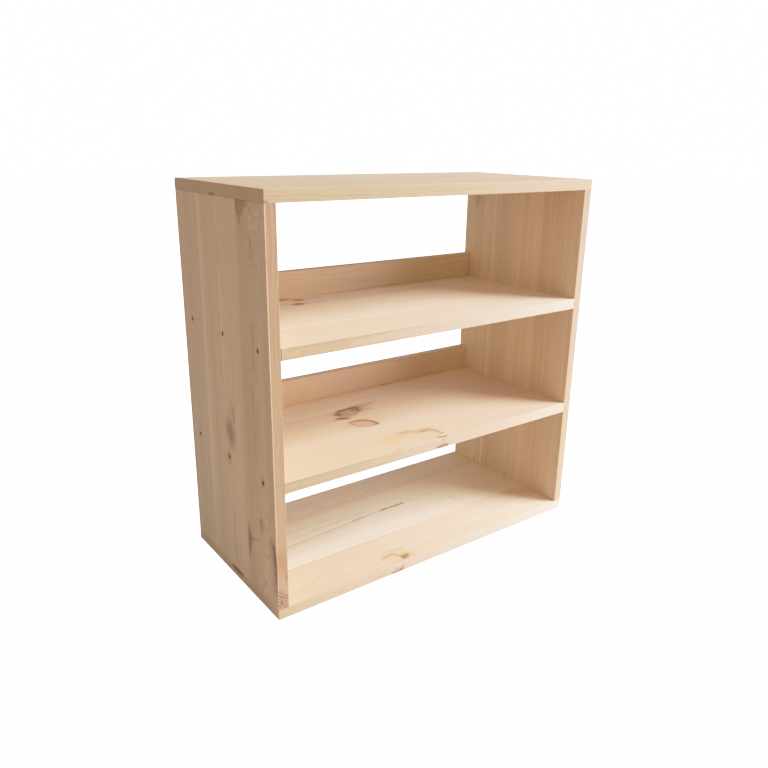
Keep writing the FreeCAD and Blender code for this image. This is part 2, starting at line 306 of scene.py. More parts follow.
def stave_specs():
    out = []
    for board, (kind, u, w, (f0, f1, b0, b1), (rf0, rf1, rb0, rb1, re)) in BOARDS.items():
        face, spots = HOLES[board]
        for part in ("front", "middle", "back"):
            g = GLUE_R
            if part == "front":
                vf, vb, r = (-YO, -YO), (f0, f1), (rf0, rf1, g, g)
            elif part == "middle":
                vf, vb, r = (f0, f1), (b0, b1), (g, g, g, g)
            else:
                vf, vb, r = (b0, b1), (YO, YO), (g, g, rb0, rb1)
            lo, hi = max(vf), min(vb)
            holes = [(hu, hv) for hu, hv in spots if lo < hv < hi]
            out.append({
                "node": "%s_%s_stave" % (board, part), "board": board, "kind": kind,
                "u": u, "w": w, "vf": vf, "vb": vb, "r": r, "re": re,
                "face": face, "holes": holes,
            })
    for tag, z in (("upper", U_SHELF + T), ("lower", L_SHELF + T)):
        out.append({
            "node": "%s_back_rail" % tag, "board": "rail", "kind": "flat",
            "u": (-XI, XI), "w": (z, z + 48.0), "vf": (YO - T, YO - T), "vb": (YO, YO),
            "r": (0.15, 1.2, 0.5, 1.2), "re": 0.1, "face": "w0", "holes": [],
        })
    return out


NA = 4          # segments round an arris
HOLE_STEP = 2.0  # cell of the 12 mm square that a screw recess is let into


def spaced(lo, hi, step, forced):
    """Values from lo to hi about step apart that pass through every forced value."""
    keep = sorted(set(round(f, 4) for f in forced if lo < f < hi))
    marks = [lo] + keep + [hi]
    out = [lo]
    for a, b in zip(marks, marks[1:]):
        n = max(1, round((b - a) / step))
        out += [a + (b - a) * k / n for k in range(1, n + 1)]
    return out


def build_stave(s):
    name = s["node"]
    rng = random.Random(seed_of(name))
    (u0, u1), (w0, w1) = s["u"], s["w"]
    re = s["re"]
    free = [r > 0.3 for r in s["r"]]
    lift = Vector((seed_of(name) % 97, seed_of(name) % 89, 0.37))

    # knocks on the free arrises: place, reach, depth
    knocks = [[], [], [], []]
    for k in range(4):
        if s["r"][k] >= 0.8:
            for _ in range(rng.randint(2, 4)):
                knocks[k].append((rng.uniform(u0 + 12, u1 - 12), rng.uniform(2.0, 4.5), rng.uniform(0.3, 0.95)))

    def radius(k, u):
        r = s["r"][k]
        if free[k]:
            n = noise.noise(Vector((u * 0.021, k * 7.3, 0.0)) + lift) + 0.5 * noise.noise(Vector((u * 0.09, k * 3.1, 5.0)) + lift)
            r *= 1.0 + 0.32 * n
            for c, reach, deep in knocks[k]:
                r += deep * math.exp(-((u - c) / reach) ** 2)
        return r

    knots = KNOTS.get(name, [])

    def relief(u, v, side):
        """How far a face is dished at a knot, which shrinks more than the wood around it."""
        d = 0.0
        for q in knots:
            if q["look"] is None or q["face"] not in (None, side):
                continue
            c, sn = math.cos(math.radians(q["turn"])), math.sin(math.radians(q["turn"]))
            a, b = u - q["u"], v - q["v"]
            e = math.hypot((a * c + b * sn) / q["ru"], (-a * sn + b * c) / q["rv"])
            d += q["s"] * (0.16 * (1.0 - smooth(0.75, 1.25, e)) - 0.05 * math.exp(-((e - 1.1) / 0.25) ** 2))
        return max(d, 0.0)

    forced_u, forced_v = [], []
    for hu, hv in s["holes"]:
        forced_u += [hu + k * HOLE_STEP for k in range(-3, 4)]
        forced_v += [hv + k * HOLE_STEP for k in range(-3, 4)]
    for k in range(4):
        for c, reach, deep in knocks[k]:
            if all(abs(c - hu) > 6 + 2 * reach for hu, hv in s["holes"]):
                forced_u += [c + q * reach for q in (-1.6, -0.8, 0.0, 0.8, 1.6)]
    # forced places too close together, apart from those of a recess, are thinned
    recess = set(round(hu + k * HOLE_STEP, 4) for hu, hv in s["holes"] for k in range(-3, 4))
    thin = []
    for f in sorted(set(round(f, 4) for f in forced_u)):
        if f in recess:
            if thin and thin[-1] not in recess and f - thin[-1] < 1.0:
                thin.pop()
            thin.append(f)
        elif not thin or f - thin[-1] >= 1.0:
            thin.append(f)

    ne = 3
    stations = []
    for k in range(ne):
        ph = math.radians(90.0 * (1 - k / ne))
        stations.append((u0 + re * (1 - math.sin(ph)), re * (1 - math.cos(ph)), ph, -1.0))
    for u in spaced(u0 + re, u1 - re, 7.0, thin):
        stations.append((u, 0.0, 0.0, 0.0))
    for k in range(1, ne + 1):
        ph = math.radians(90.0 * k / ne)
        stations.append((u1 - re * (1 - math.sin(ph)), re * (1 - math.cos(ph)), ph, 1.0))

    vlo, vhi = max(s["vf"]), min(s["vb"])
    pad = min(6.0, (vhi - vlo) * 0.25)
    start = min([vlo + pad] + [f for f in forced_v])
    stop = max([vhi - pad] + [f for f in forced_v])
    lines = spaced(start, stop, 6.5, forced_v)
    nw = max(3, round((w1 - w0) / 5.0)) - 1

    def ends_at(u):
        t = (u - u0) / (u1 - u0)
        return s["vf"][0] + (s["vf"][1] - s["vf"][0]) * t, s["vb"][0] + (s["vb"][1] - s["vb"][0]) * t

    def ring(u, inset):
        vf, vb = ends_at(u)
        vf, vb, a, b = vf + inset, vb - inset, w0 + inset, w1 - inset
        r = [max(radius(k, u) - inset, 0.02) for k in range(4)]   # f0, f1, b0, b1
        pts = []   # v, w, normal v, normal w, arris
        dish = (lambda v, side: relief(u, v, side)) if inset == 0.0 and knots else (lambda v, side: 0.0)
        pts.append((vf + r[0], a, 0, -1, 0))
        for v in lines:
            pts.append((v, a + dish(v, "w0"), 0, -1, 0))
        pts.append((vb - r[2], a, 0, -1, 0))
        for k in range(1, NA + 1):
            t = math.radians(-90 + 90 * k / NA)
            pts.append((vb - r[2] + r[2] * math.cos(t), a + r[2] + r[2] * math.sin(t), math.cos(t), math.sin(t), free[2] * math.sin(math.pi * k / NA)))
        for k in range(1, nw + 1):
            pts.append((vb, a + r[2] + (b - r[3] - a - r[2]) * k / (nw + 1), 1, 0, 0))
        for k in range(NA + 1):
            t = math.radians(90 * k / NA)
            pts.append((vb - r[3] + r[3] * math.cos(t), b - r[3] + r[3] * math.sin(t), math.cos(t), math.sin(t), free[3] * math.sin(math.pi * k / NA)))
        for v in reversed(lines):
            pts.append((v, b - dish(v, "w1"), 0, 1, 0))
        for k in range(NA + 1):
            t = math.radians(90 + 90 * k / NA)
            pts.append((vf + r[1] + r[1] * math.cos(t), b - r[1] + r[1] * math.sin(t), math.cos(t), math.sin(t), free[1] * math.sin(math.pi * k / NA)))
        for k in range(1, nw + 1):
            pts.append((vf, b - r[1] + (a + r[0] - b + r[1]) * k / (nw + 1), -1, 0, 0))
        for k in range(NA):
            t = math.radians(180 + 90 * k / NA)
            pts.append((vf + r[0] + r[0] * math.cos(t), a + r[0] + r[0] * math.sin(t), math.cos(t), math.sin(t), free[0] * math.sin(math.pi * k / NA)))
        return pts

    nl = len(lines)
    first_w0 = 1
    first_w1 = 1 + nl + 1 + NA + nw + (NA + 1)      # lines run backwards here

    mid = ring(0.5 * (u0 + u1), 0.0)
    around = [0.0]
    for p, q in zip(mid, mid[1:] + mid[:1]):
        around.append(around[-1] + math.hypot(q[0] - p[0], q[1] - p[1]))
    total = around[-1]
    STRIP = 0.90

    def uv_of(u, srow):
        return (0.006 + 0.988 * (u - u0) / (u1 - u0), 0.004 + (STRIP - 0.008) * srow / total)

    def place(u, v, w):
        return Vector((u, v, w)) * MM if s["kind"] == "flat" else Vector((w, v, u)) * MM

    def heading(u, v, w):
        return Vector((u, v, w)).normalized() if s["kind"] == "flat" else Vector((w, v, u)).normalized()

    bm = bmesh.new()
    normals, arris, face_uv = [], [], []
    grid = []

    def vert(u, v, w, n, edge):
        p = bm.verts.new(place(u, v, w))
        normals.append(heading(*n))
        arris.append(edge)
        p.index = len(normals) - 1
        return p

    def face(verts, uvs):
        bm.faces.new(verts)
        face_uv.append({p.index: q for p, q in zip(verts, uvs)})

    rows = [ring(u, inset) for u, inset, ph, sign in stations]
    count = len(rows[0])
    us = [st[0] for st in stations]

    # cells taken out for the screw recesses
    cut = {}
    inner = set()
    blocks = []
    for hu, hv in s["holes"]:
        i0 = min(range(len(us)), key=lambda i: abs(us[i] - (hu - 3 * HOLE_STEP)))
        l0 = min(range(nl), key=lambda k: abs(lines[k] - (hv - 3 * HOLE_STEP)))
        cols = [(first_w0 + l0 + k) if s["face"] == "w0" else (first_w1 + nl - 1 - (l0 + k)) for k in range(7)]
        assert abs(us[i0 + 6] - (hu + 6)) < 0.01 and abs(lines[l0 + 6] - (hv + 6)) < 0.01, name
        for i in range(i0, i0 + 6):
            for k in range(6):
                cut[(i, min(cols[k], cols[k + 1]))] = True
        for i in range(i0 + 1, i0 + 6):
            for k in range(1, 6):
                inner.add((i, cols[k]))
        blocks.append((hu, hv, i0, cols))

    for i, (u, inset, ph, sign) in enumerate(stations):
        row = []
        for j, (v, w, nv, nwm, edge) in enumerate(rows[i]):
            if (i, j) in inner:
                row.append(None)
                continue
            c = math.cos(ph)
            slope_u = slope_v = 0.0
            if knots and ph == 0.0 and abs(nwm) == 1:
                side = "w0" if nwm < 0 else "w1"
                slope_u = (relief(u + 0.5, v, side) - relief(u - 0.5, v, side))
                slope_v = (relief(u, v + 0.5, side) - relief(u, v - 0.5, side))
            row.append(vert(u, v, w, (sign * math.sin(ph) + slope_u, c * nv + slope_v, c * nwm), edge * c))
        grid.append(row)

    for i in range(len(stations) - 1):
        for j in range(count):
            if (i, j) in cut:
                continue
            k = (j + 1) % count
            sa, sb = around[j], around[j + 1]
            face([grid[i][j], grid[i][k], grid[i + 1][k], grid[i + 1][j]],
                 [uv_of(us[i], sa), uv_of(us[i], sb), uv_of(us[i + 1], sb), uv_of(us[i + 1], sa)])

    # ends
    vmin, vmax = min(s["vf"]), max(s["vb"])
    for row, x0 in ((0, 0.01), (-1, 0.51)):
        ring_v = [grid[row][j] for j in range(count)]
        uvs = [(x0 + 0.48 * (p[0] - vmin) / (vmax - vmin), STRIP + 0.006 + (0.988 - STRIP) * (p[1] - w0) / (w1 - w0)) for p in rows[row]]
        face(ring_v, uvs)

    # screw recesses: the rim is torn a little along the grain
    for hu, hv, i0, cols in blocks:
        top = w0 if s["face"] == "w0" else w1
        down = 1.0 if s["face"] == "w0" else -1.0
        loop = [(i0 + k, cols[0]) for k in range(6)] + [(i0 + 6, cols[k]) for k in range(6)]
        loop += [(i0 + 6 - k, cols[6]) for k in range(6)] + [(i0, cols[6 - k]) for k in range(6)]
        outer = [grid[i][j] for i, j in loop]
        pos = [(us[i] - hu, rows[i][j][0] - hv) for i, j in loop]
        smid = around[cols[3]]
        sgn = 1.0 if around[cols[6]] > around[cols[0]] else -1.0

        def recess_uv(a, b):
            return uv_of(hu + a, smid + sgn * b)

        prev, prev_uv = outer, [recess_uv(a, b) for a, b in pos]
        jit = [rng.uniform(-1, 1) for _ in loop]
        for step, (rho, deep, uvr, out_n, in_n) in enumerate((
                (4.75, 0.0, 4.75, 1.0, 0.0), (4.15, 0.03, 4.2, 0.95, 0.3), (3.86, 0.35, 3.7, 0.5, 0.86),
                (3.78, 0.8, 3.1, 0.0, 1.0), (3.76, 1.6, 2.4, 0.0, 1.0), (2.1, 3.3, 1.4, 0.7, 0.7), (2.05, 5.0, 0.8, 0.0, 1.0))):
            cur, cur_uv = [], []
            for (a, b), q in zip(pos, jit):
                t = math.atan2(b, a)
                rr = rho + (0.16 * q + 0.22 * abs(math.cos(t))) * (1.0 if step == 1 else 0.35 if step in (0, 2) else 0.0)
                ca, sa = math.cos(t), math.sin(t)
                cur.append(vert(hu + rr * ca, hv + rr * sa, top + down * deep,
                                (-in_n * ca, -in_n * sa, -down * out_n), 0.0))
                cur_uv.append(recess_uv(uvr * ca, uvr * sa))
            n = len(cur)
            for k in range(n):
                m = (k + 1) % n
                face([prev[k], prev[m], cur[m], cur[k]], [prev_uv[k], prev_uv[m], cur_uv[m], cur_uv[k]])
            prev, prev_uv = cur, cur_uv
        face(list(prev), prev_uv)

    bm.verts.ensure_lookup_table()
    bm.faces.ensure_lookup_table()
    layer = bm.loops.layers.uv.new("OFBake")
    for f, table in zip(bm.faces, face_uv):
        for loop in f.loops:
            loop[layer].uv = table[loop.vert.index]
        f.smooth = True
    bmesh.ops.recalc_face_normals(bm, faces=bm.faces)
    if bm.calc_volume(signed=True) < 0:
        bmesh.ops.reverse_faces(bm, faces=bm.faces)
    mesh = bpy.data.meshes.new(name + "_wood")
    bm.to_mesh(mesh)
    bm.free()
    attr = mesh.attributes.new("arris", "FLOAT", "POINT")
    attr.data.foreach_set("value", arris)
    mesh.normals_split_custom_set_from_vertices(normals)
    obj = bpy.data.objects.new(name + "_wood", mesh)
    bpy.context.scene.collection.objects.link(obj)
    return obj


# ---------------------------------------------------------------------------------------
# materials
# ---------------------------------------------------------------------------------------
class Tree:
    """Short calls for a material's nodes. Numbers go on a socket, sockets are linked."""

    def __init__(self, name):
        self.mat = bpy.data.materials.new(name)
        self.mat.use_nodes = True
        self.t = self.mat.node_tree
        self.t.nodes.clear()

    def node(self, kind, **props):
        n = self.t.nodes.new(kind)
        for k, v in props.items():
            setattr(n, k, v)
        return n

    def put(self, socket, value):
        if isinstance(value, bpy.types.NodeSocket):
            self.t.links.new(value, socket)
        else:
            socket.default_value = value

    def m(self, op, a, b=None, c=None, clamp=False):
        n = self.node("ShaderNodeMath", operation=op, use_clamp=clamp)
        for k, v in enumerate((a, b, c)):
            if v is not None:
                self.put(n.inputs[k], v)
        return n.outputs[0]

    def add(self, *v):
        out = v[0]
        for x in v[1:]:
            out = self.m("ADD", out, x)
        return out

    def mul(self, *v):
        out = v[0]
        for x in v[1:]:
            out = self.m("MULTIPLY", out, x)
        return out

    def sub(self, a, b):
        return self.m("SUBTRACT", a, b)

    def fit(self, x, a, b, c=0.0, d=1.0, kind="SMOOTHSTEP"):
        n = self.node("ShaderNodeMapRange", interpolation_type=kind, clamp=True)
        for k, v in enumerate((x, a, b, c, d)):
            self.put(n.inputs[k], v)
        return n.outputs[0]

    def vec(self, x, y, z):
        n = self.node("ShaderNodeCombineXYZ")
        for k, v in enumerate((x, y, z)):
            self.put(n.inputs[k], v)
        return n.outputs[0]

    def noise(self, vec, detail=2.0, rough=0.5, lac=2.0):
        n = self.node("ShaderNodeTexNoise", noise_dimensions="3D")
        self.put(n.inputs["Vector"], vec)
        n.inputs["Scale"].default_value = 1.0
        n.inputs["Detail"].default_value = detail
        n.inputs["Roughness"].default_value = rough
        n.inputs["Lacunarity"].default_value = lac
        return n.outputs[0]

    def mix(self, f, a, b, blend="MIX"):
        n = self.node("ShaderNodeMix", data_type="RGBA", blend_type=blend, clamp_factor=True)
        self.put(n.inputs[0], f)
        for k, v in ((6, a), (7, b)):
            self.put(n.inputs[k], v if isinstance(v, bpy.types.NodeSocket) else tuple(v) + (1.0,))
        return n.outputs[2]

    def gain(self, col, f):
        """col times the number f, channel by channel."""
        n = self.node("ShaderNodeVectorMath", operation="SCALE")
        self.put(n.inputs[0], col)
        self.put(n.inputs[3], f)
        return n.outputs[0]


# knot looks: middle, outer part, rim, halo, rim strength
LOOKS = {
    "brown": ((0.41, 0.220, 0.108), (0.36, 0.188, 0.092), (0.24, 0.115, 0.052), (0.60, 0.38, 0.22), 0.30),
    "dark": ((0.21, 0.102, 0.048), (0.25, 0.12, 0.056), (0.12, 0.054, 0.026), (0.56, 0.35, 0.195), 0.60),
    "red": ((0.54, 0.275, 0.165), (0.47, 0.23, 0.135), (0.25, 0.11, 0.065), (0.66, 0.42, 0.27), 0.50),
    "pink": ((0.69, 0.415, 0.290), (0.60, 0.335, 0.225), (0.20, 0.098, 0.058), (0.70, 0.475, 0.33), 1.0),
    "grey": ((0.51, 0.360, 0.257), (0.42, 0.283, 0.192), (0.15, 0.086, 0.049), (0.62, 0.43, 0.30), 1.0),
    "bark": ((0.38, 0.172, 0.080), (0.40, 0.188, 0.090), (0.26, 0.112, 0.050), (0.70, 0.42, 0.24), 0.25),
}
STREAK_COLOURS = {"dark": (0.185, 0.11, 0.066), "brown": (0.34, 0.205, 0.118), "russet": (0.41, 0.228, 0.145), "amber": (0.83, 0.490, 0.285), "pale": (0.93, 0.70, 0.48),
                  "red": (0.26, 0.112, 0.068), "rust": (0.46, 0.255, 0.160), "orange": (0.50, 0.252, 0.128), "rose": (0.62, 0.325, 0.215),
                  "blush": (0.66, 0.395, 0.275), "umber": (0.25, 0.128, 0.086), "olive": (0.60, 0.40, 0.19)}

EARLY = (0.820, 0.635, 0.455)
LATE = (0.660, 0.450, 0.280)

# wood of each stave: ring spacing, pith across, pith through the thickness (from the
# middle of the board), lean of the pith across and through, tint, contrast, wander
WOOD = {
    "top_board_front_stave": (3.1, -88, -46, 0.020, 0.022, (0.845, 0.76, 0.71), 0.55, 1.0),
    "top_board_middle_stave": (3.6, 8, -34, -0.012, 0.030, (0.84, 0.76, 0.725), 0.50, 1.0),
    "top_board_back_stave": (2.8, 140, -60, 0.010, -0.020, (0.83, 0.78, 0.755), 0.55, 1.0),
    "bottom_board_front_stave": (3.4, -112, -38, 0.015, 0.028, (1.04, 0.98, 0.95), 0.30, 1.0),
    "bottom_board_middle_stave": (3.2, 150, -24, -0.012, 0.012, (1.13, 1.24, 1.36), 0.48, 0.6),
    "bottom_board_back_stave": (2.9, 98, -30, 0.012, 0.022, (1.08, 1.13, 1.21), 0.45, 1.0),
    "left_side_front_stave": (2.9, -112, 30, 0.010, -0.020, (0.99, 0.97, 0.95), 0.55, 1.0),
    "left_side_middle_stave": (3.3, -4, 26, 0.012, 0.024, (1.02, 1.02, 1.02), 0.48, 1.0),
    "left_side_back_stave": (2.7, 190, 20, 0.010, 0.010, (1.01, 1.01, 1.02), 0.46, 0.6),
    "right_side_front_stave": (2.5, -330, -14, 0.004, 0.004, (0.97, 0.94, 0.90), 0.48, 0.35),
    "right_side_middle_stave": (2.9, 210, -18, 0.005, 0.004, (1.00, 0.99, 0.98), 0.46, 0.35),
    "right_side_back_stave": (2.4, 330, -12, 0.004, 0.005, (1.12, 1.13, 1.12), 0.50, 0.35),
    "upper_shelf_front_stave": (3.5, -100, -40, 0.018, 0.026, (1.03, 1.05, 1.10), 0.22, 1.0),
    "upper_shelf_middle_stave": (3.9, -6, -44, -0.014, 0.024, (1.13, 1.15, 1.21), 0.22, 1.0),
    "upper_shelf_back_stave": (2.9, 118, -36, 0.012, 0.020, (1.07, 1.12, 1.25), 0.42, 1.0),
    "lower_shelf_front_stave": (3.6, -118, -48, 0.014, 0.022, (1.00, 0.97, 0.96), 0.15, 1.0),
    "lower_shelf_middle_stave": (3.7, 4, -36, -0.012, 0.020, (1.00, 0.95, 0.96), 0.16, 1.0),
    "lower_shelf_back_stave": (2.9, 96, -50, 0.010, 0.018, (1.04, 1.04, 1.09), 0.34, 1.0),
    "upper_back_rail": (3.2, 330, 80, 0.004, 0.010, (0.97, 0.93, 0.89), 0.36, 0.5),
    "lower_back_rail": (3.0, -60, 140, -0.004, 0.009, (0.99, 0.95, 0.91), 0.36, 0.5),
}

# figure of each board: strength of the wide stripes, of the narrow ones, of the patches
FIGURE = {"right_side": (0.62, 0.26, 0.8), "left_side": (0.44, 0.20, 1.0), "lower_shelf": (0.28, 0.08, 1.8), "upper_shelf": (0.34, 0.10, 1.3)}

# tints by face and along the stave, part weathered outsides and sawn edges, part painted light and shade: darker front
# edges where less light falls, the lit outsides of the right side darkened, painted shadow on the rails and on the
# shaded parts of the decks, lighter lower parts of the uprights and a painted sheen on the top; normal's axis and
# sign, tints from the first end of the stave to its last
FACE_TINTS_AND_PAINTED_LIGHT = {
    "left_side_front_stave": [(0, -1, (1.12, 0.98, 0.90), (1.00, 0.852, 0.744), (0.98, 0.836, 0.702)), (1, -1, (0.68, 0.560, 0.530), (0.535, 0.408, 0.340))],
    "left_side_middle_stave": [(0, -1, (1.19, 1.075, 1.00), (1.088, 0.930, 0.816), (1.035, 0.872, 0.744))],
    "left_side_back_stave": [(0, -1, (1.12, 1.06, 0.965), (1.046, 0.906, 0.808), (1.025, 0.865, 0.748))],
    "right_side_front_stave": [(1, -1, (0.845, 0.745, 0.690), (0.678, 0.602, 0.553), (0.595, 0.535, 0.490)), (0, -1, (1.0, 1.0, 1.0), (0.955, 0.935, 0.905)), (0, 1, (0.80, 0.655, 0.535), (0.78, 0.63, 0.51))],
    "right_side_middle_stave": [(0, -1, (1.0, 1.0, 1.0), (1.04, 1.06, 1.05)), (0, 1, (0.77, 0.615, 0.495), (0.75, 0.595, 0.475))],
    "right_side_back_stave": [(0, -1, (0.99, 1.0, 0.955), (0.985, 0.985, 0.955)), (0, 1, (0.705, 0.56, 0.45), (0.685, 0.54, 0.43))],
    "upper_shelf_back_stave": [(1, 1, (0.86, 0.76, 0.67), (0.86, 0.76, 0.67)), (2, 1, (0.98, 1.01, 1.05), (0.97, 0.99, 1.02), (1.01, 1.01, 0.97))],
    "lower_shelf_back_stave": [(1, 1, (0.92, 0.86, 0.80), (0.92, 0.86, 0.80)), (2, 1, (1.06, 1.125, 1.22), (1.03, 1.09, 1.17), (0.93, 0.97, 1.03), (0.93, 0.945, 0.89))],
    "lower_shelf_middle_stave": [(2, 1, (1.02, 1.00, 0.98), (1.01, 1.00, 1.02), (0.96, 0.96, 0.98))],
    "bottom_board_back_stave": [(2, 1, (1.03, 1.05, 1.08), (1.02, 1.05, 1.09), (0.98, 0.97, 0.875)), (1, 1, (0.91, 0.81, 0.72), (0.91, 0.81, 0.72)), (0, -1, (0.96, 0.88, 0.80), (0.96, 0.88, 0.80)), (0, 1, (0.96, 0.88, 0.80), (0.96, 0.88, 0.80))],
    "upper_back_rail": [(1, -1, (1.09, 1.11, 1.18), (1.07, 1.09, 1.13), (0.925, 0.970, 1.040), (0.880, 0.870, 0.775), (1.03, 1.06, 0.96))],
    "lower_back_rail": [(1, -1, (1.07, 1.01, 1.07), (1.045, 0.995, 1.03), (0.925, 0.930, 0.980), (0.875, 0.850, 0.755), (1.065, 1.09, 1.01))],
    "bottom_board_middle_stave": [(2, 1, (1.00, 1.00, 1.00), (1.02, 1.02, 1.05), (0.95, 0.93, 0.85)), (0, -1, (0.95, 0.82, 0.70), (0.95, 0.82, 0.70)), (0, 1, (0.95, 0.82, 0.70), (0.95, 0.82, 0.70))],
    "upper_shelf_middle_stave": [(2, 1, (0.985, 0.965, 0.93), (1.005, 1.01, 1.02), (0.985, 0.99, 1.00))],
    "top_board_front_stave": [(1, -1, (0.765, 0.745, 0.69), (0.80, 0.785, 0.745)), (2, 1, (0.98, 0.96, 0.94), (1.00, 1.00, 1.01), (1.00, 1.04, 1.09))],
    "top_board_middle_stave": [(2, 1, (0.97, 0.955, 0.94), (1.00, 1.01, 1.02), (1.00, 1.04, 1.08))],
    "top_board_back_stave": [(2, 1, (0.99, 1.00, 1.01), (1.00, 1.03, 1.07), (1.01, 1.045, 1.09))],
    "upper_shelf_front_stave": [(1, -1, (0.73, 0.57, 0.49), (0.86, 0.83, 0.82)), (2, 1, (0.98, 0.92, 0.855), (1.09, 1.12, 1.15))],
    "lower_shelf_front_stave": [(1, -1, (0.72, 0.62, 0.56), (0.97, 0.90, 0.90)), (2, 1, (0.955, 0.90, 0.87), (0.97, 0.93, 0.905), (1.00, 1.00, 1.02))],
    "bottom_board_front_stave": [(1, -1, (0.80, 0.71, 0.63), (1.04, 1.12, 1.32)), (2, 1, (0.89, 0.855, 0.83), (1.13, 1.18, 1.29))],
}
# a painted highlight in a strip along one corner of the front edge: face, width, colour
HIGHLIGHT_CORNERS = {"left_side_front_stave": ("w0", 2.0, (0.97, 0.59, 0.365))}
# end grain: how much darker wood shows, gain; the upper shelf's end grain is painted very dark, as painted shade in
# the gap at its left end
ENDS = {"upper_shelf": (0.6, (0.30, 0.24, 0.19)), "top_board": (0.42, (1.07, 0.98, 0.88)), "bottom_board": (0.15, (1.00, 0.92, 0.85))}


def pine(s):
    """Solid pine: growth rings about a pith that runs along the stave, cut by its faces."""
    name = s["node"]
    spacing, pv, pw, lean_v, lean_w, tint, contrast, wander = WOOD[name]
    k = Tree("pine_" + name)
    sd = seed_of(name)
    ox, oy, oz = sd % 83 + 0.31, sd % 71 + 0.77, sd % 59 + 0.13
    coord = k.node("ShaderNodeTexCoord").outputs["Object"]
    big = k.node("ShaderNodeVectorMath", operation="SCALE")
    k.put(big.inputs[0], coord)
    big.inputs[3].default_value = 1000.0
    sep = k.node("ShaderNodeSeparateXYZ")
    k.put(sep.inputs[0], big.outputs[0])
    X, Y, Z = sep.outputs[0], sep.outputs[1], sep.outputs[2]
    U, V, W = (X, Y, Z) if s["kind"] == "flat" else (Z, Y, X)
    wm = 0.5 * (s["w"][0] + s["w"][1])
    um = 0.5 * (s["u"][0] + s["u"][1])
    wface = {"w0": s["w"][0], "w1": s["w"][1]}

    geo = k.node("ShaderNodeNewGeometry")
    nsep = k.node("ShaderNodeSeparateXYZ")
    k.put(nsep.inputs[0], geo.outputs["Normal"])

    def grain(fu, fv, fw, shift=0.0, detail=2.0, rough=0.5):
        return k.noise(k.vec(k.m("MULTIPLY_ADD", U, fu, ox + shift), k.m("MULTIPLY_ADD", V, fv, oy + 1.7 * shift),
                             k.m("MULTIPLY_ADD", W, fw, oz - 0.9 * shift)), detail, rough)

    def near(face, deep):
        """1 at a face, 0 deeper than deep."""
        return k.fit(k.m("ABSOLUTE", k.sub(W, wface[face])), deep * 0.5, deep, 1.0, 0.0)

    slow = grain(0.0042, 0.017, 0.017, 0.0, 2.0, 0.55)
    wavy = grain(0.016, 0.060, 0.060, 11.0, 2.0, 0.5)
    fine = grain(0.075, 0.30, 0.30, 23.0, 2.0, 0.5)

    # knots push the rings outwards round themselves
    knots, bulges = [], []
    table = KNOTS.get(name, [])
    if table:
        rag_u = grain(0.085, 0.085, 0.085, 131.0, 3.0, 0.55)
        rag_v = grain(0.085, 0.085, 0.085, 149.0, 3.0, 0.55)
    for q in table:
        c, sn = math.cos(math.radians(q["turn"])), math.sin(math.radians(q["turn"]))
        ru, rv = q["ru"], q["rv"]
        du, dv = k.sub(U, q["u"]), k.sub(V, q["v"])
        e = k.add(k.m("POWER", k.mul(du, 1.0 / (ru * 2.6)), 2.0), k.m("POWER", k.mul(dv, 1.0 / (rv * 1.9)), 2.0))
        bulges.append(k.mul(k.m("EXPONENT", k.mul(e, -1.0)), q["bulge"]))
        if q["look"] is None:
            continue
        halo = k.m("SQRT", k.add(k.m("POWER", k.mul(du, 1.0 / (ru * 2.3)), 2.0), k.m("POWER", k.mul(dv, 1.0 / (rv * 1.6)), 2.0)))
        halo = k.add(halo, k.mul(k.sub(wavy, 0.5), 0.5))
        du = k.add(du, k.mul(k.sub(rag_u, 0.5), q["rag"] * ru))
        dv = k.add(dv, k.mul(k.sub(rag_v, 0.5), q["rag"] * rv))
        a = k.add(k.mul(du, c / ru), k.mul(dv, sn / ru))
        b = k.add(k.mul(du, -sn / rv), k.mul(dv, c / rv))
        if q["taper"]:
            b = k.m("DIVIDE", b, k.m("MAXIMUM", k.m("MULTIPLY_ADD", a, q["taper"], 1.0), 0.18))
        if q["lens"]:
            d = k.add(k.mul(a, a), k.m("SQRT", k.add(k.mul(b, b), 0.01)))
        else:
            d = k.m("SQRT", k.add(k.mul(a, a), k.mul(b, b)))
        d = k.add(d, k.mul(k.sub(fine, 0.5), 0.4 * q["rag"]))
        side = k.add(k.mul(a, q["heavy"][0]), k.mul(b, q["heavy"][1])) if any(q["heavy"]) else None
        knots.append((q, d, halo, side))

    a = k.sub(k.sub(V, pv), k.mul(k.sub(U, um), lean_v))
    b = k.sub(k.sub(W, wm + pw), k.mul(k.sub(U, um), lean_w))
    r = k.m("SQRT", k.add(k.mul(a, a), k.mul(b, b)))
    r = k.add(r, k.mul(k.sub(slow, 0.5), 15.0 * wander), k.mul(k.sub(wavy, 0.5), 3.4 * (0.4 + 0.6 * wander)), k.mul(k.sub(fine, 0.5), 0.7))
    for g in bulges:
        r = k.add(r, g)
    width = k.noise(k.vec(k.m("MULTIPLY_ADD", r, 0.11, ox), oy, oz), 1.0, 0.5)
    r = k.add(r, k.mul(k.sub(width, 0.5), 5.0))
    turn_no = k.mul(r, 1.0 / spacing)
    part = k.m("FRACT", turn_no)
    ring_id = k.m("FLOOR", turn_no)
    wn = k.node("ShaderNodeTexWhiteNoise", noise_dimensions="1D")
    k.put(wn.inputs["W"], k.add(ring_id, ox))
    lot = wn.outputs["Value"]
    late = k.mul(k.fit(part, 0.20, 0.88), k.sub(1.0, k.fit(part, 0.89, 1.0)))
    late = k.mul(late, k.add(0.40, k.mul(lot, 0.85)))

